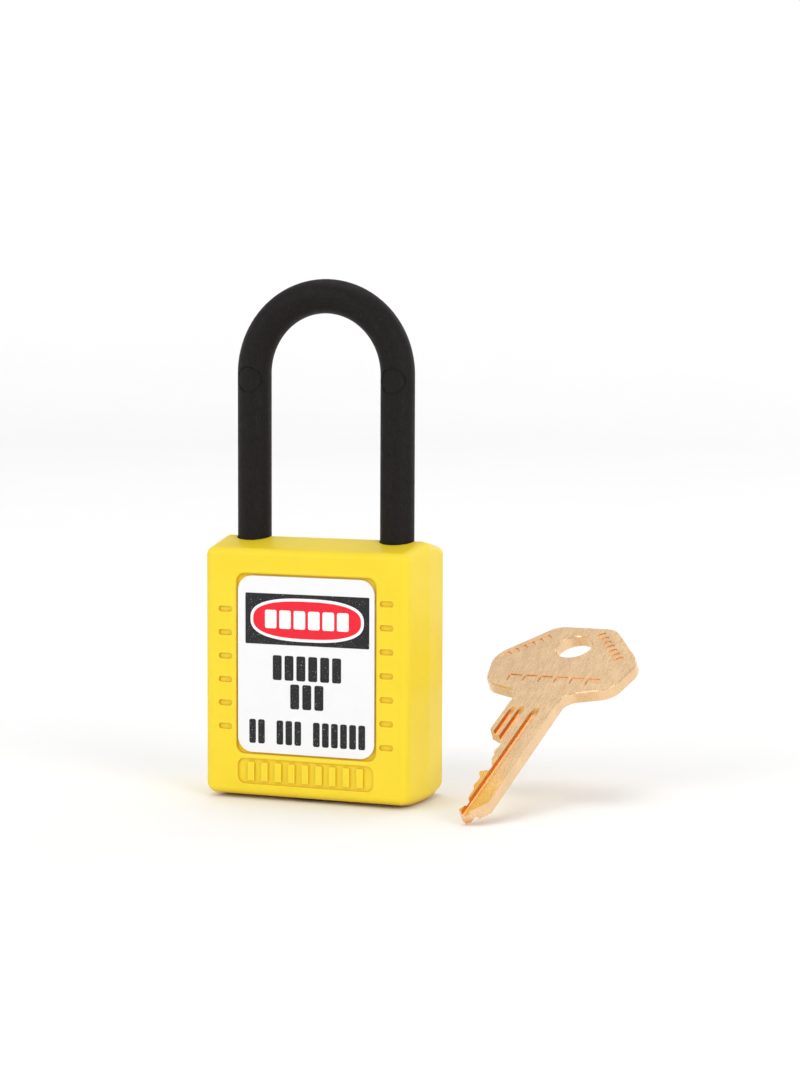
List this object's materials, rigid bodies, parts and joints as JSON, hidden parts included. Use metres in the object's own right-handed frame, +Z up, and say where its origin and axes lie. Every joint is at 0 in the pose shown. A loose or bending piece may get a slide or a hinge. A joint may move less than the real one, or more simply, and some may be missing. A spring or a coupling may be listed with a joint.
{
  "type": "safety padlock",
  "caption": "Compact lockout padlock: plastic body with label plates front and back, slim non-conductive nylon shackle, brass pin cylinder in the base and a flat brass key.",
  "frame": {"origin": "centre of the flat rest face under the body", "axes": "+Z up along the shackle legs; -Y is the front, towards the front label; the long shackle leg is at -X and the key lies on the +X side"},
  "size_m": [0.0685, 0.0489, 0.0878],
  "materials": {
    "body_yellow": "fine-textured moulded thermoplastic, semi-gloss",
    "label_white": "printed vinyl plate, semi-gloss",
    "nylon_black": "glass-filled nylon, fine grain, matte",
    "brass": "machined",
    "pin_brass": "turned",
    "key_brass": "pale nickel-silver brass, brushed with coined edges",
    "zinc": "die-cast zinc, fine",
    "steel": "turned and plated",
    "spring_steel": "drawn wire",
    "acetal": "natural acetal"
  },
  "bodies": {
    "lock_body": {"body_shell": "body_yellow", "front_label": "label_white", "back_label": "label_white", "shackle_retaining_pin": "steel", "actuator_guide": "acetal", "cylinder_housing": "brass", "chamber_cover": "brass", "cylinder_screw": "steel", "pin_spring_1": "spring_steel", "pin_spring_2": "spring_steel", "pin_spring_3": "spring_steel", "pin_spring_4": "spring_steel", "pin_spring_5": "spring_steel", "pin_spring_6": "spring_steel"},
    "shackle_body": {"shackle": "nylon_black"},
    "plug_body": {"plug": "brass", "plug_retainer": "steel", "actuator_cam": "zinc", "key_pin_1": "pin_brass", "key_pin_2": "pin_brass", "key_pin_3": "pin_brass", "key_pin_4": "pin_brass", "key_pin_5": "pin_brass", "key_pin_6": "pin_brass"},
    "left_dog_body": {"left_locking_dog": "steel"},
    "right_dog_body": {"right_locking_dog": "steel"},
    "driver_body_1": {"driver_pin_1": "pin_brass"},
    "driver_body_2": {"driver_pin_2": "pin_brass"},
    "driver_body_3": {"driver_pin_3": "pin_brass"},
    "driver_body_4": {"driver_pin_4": "pin_brass"},
    "driver_body_5": {"driver_pin_5": "pin_brass"},
    "driver_body_6": {"driver_pin_6": "pin_brass"},
    "key_body": {"key": "key_brass"}
  },
  "joints": [
    {"name": "shackle_lift", "type": "slide", "parent": "lock_body", "child": "shackle_body", "axis": [0, 0, 1], "range_m": [0, 0.012]},
    {"name": "plug_turn", "type": "hinge", "parent": "lock_body", "child": "plug_body", "pos_m": [0, 0, 0], "axis": [0, 0, 1], "range_deg": [-90, 0]},
    {"name": "left_dog_slide", "type": "slide", "parent": "lock_body", "child": "left_dog_body", "axis": [-1, 0, 0], "range_m": [0, 0.0017]},
    {"name": "right_dog_slide", "type": "slide", "parent": "lock_body", "child": "right_dog_body", "axis": [1, 0, 0], "range_m": [0, 0.0017]},
    {"name": "driver_push_1", "type": "slide", "parent": "lock_body", "child": "driver_body_1", "axis": [1, 0, 0], "range_m": [0, 0.0015], "stiffness_N_per_m": 150, "springref_m": -0.002, "deforming": ["pin_spring_1"]},
    {"name": "driver_push_2", "type": "slide", "parent": "lock_body", "child": "driver_body_2", "axis": [1, 0, 0], "range_m": [0, 0.0015], "stiffness_N_per_m": 150, "springref_m": -0.002, "deforming": ["pin_spring_2"]},
    {"name": "driver_push_3", "type": "slide", "parent": "lock_body", "child": "driver_body_3", "axis": [1, 0, 0], "range_m": [0, 0.0015], "stiffness_N_per_m": 150, "springref_m": -0.002, "deforming": ["pin_spring_3"]},
    {"name": "driver_push_4", "type": "slide", "parent": "lock_body", "child": "driver_body_4", "axis": [1, 0, 0], "range_m": [0, 0.0015], "stiffness_N_per_m": 150, "springref_m": -0.002, "deforming": ["pin_spring_4"]},
    {"name": "driver_push_5", "type": "slide", "parent": "lock_body", "child": "driver_body_5", "axis": [1, 0, 0], "range_m": [0, 0.0015], "stiffness_N_per_m": 150, "springref_m": -0.002, "deforming": ["pin_spring_5"]},
    {"name": "driver_push_6", "type": "slide", "parent": "lock_body", "child": "driver_body_6", "axis": [1, 0, 0], "range_m": [0, 0.0015], "stiffness_N_per_m": 150, "springref_m": -0.002, "deforming": ["pin_spring_6"]},
    {"name": "key_draw", "type": "slide", "parent": "lock_body", "child": "key_body", "axis": [0.13, 0.8762, 0.4641], "range_m": [0, 0.03]}
  ],
  "couplings": [
    {"joint": "left_dog_slide", "follows": "plug_turn", "m_per_rad": -0.0010818},
    {"joint": "right_dog_slide", "follows": "plug_turn", "m_per_rad": -0.0010818}
  ]
}
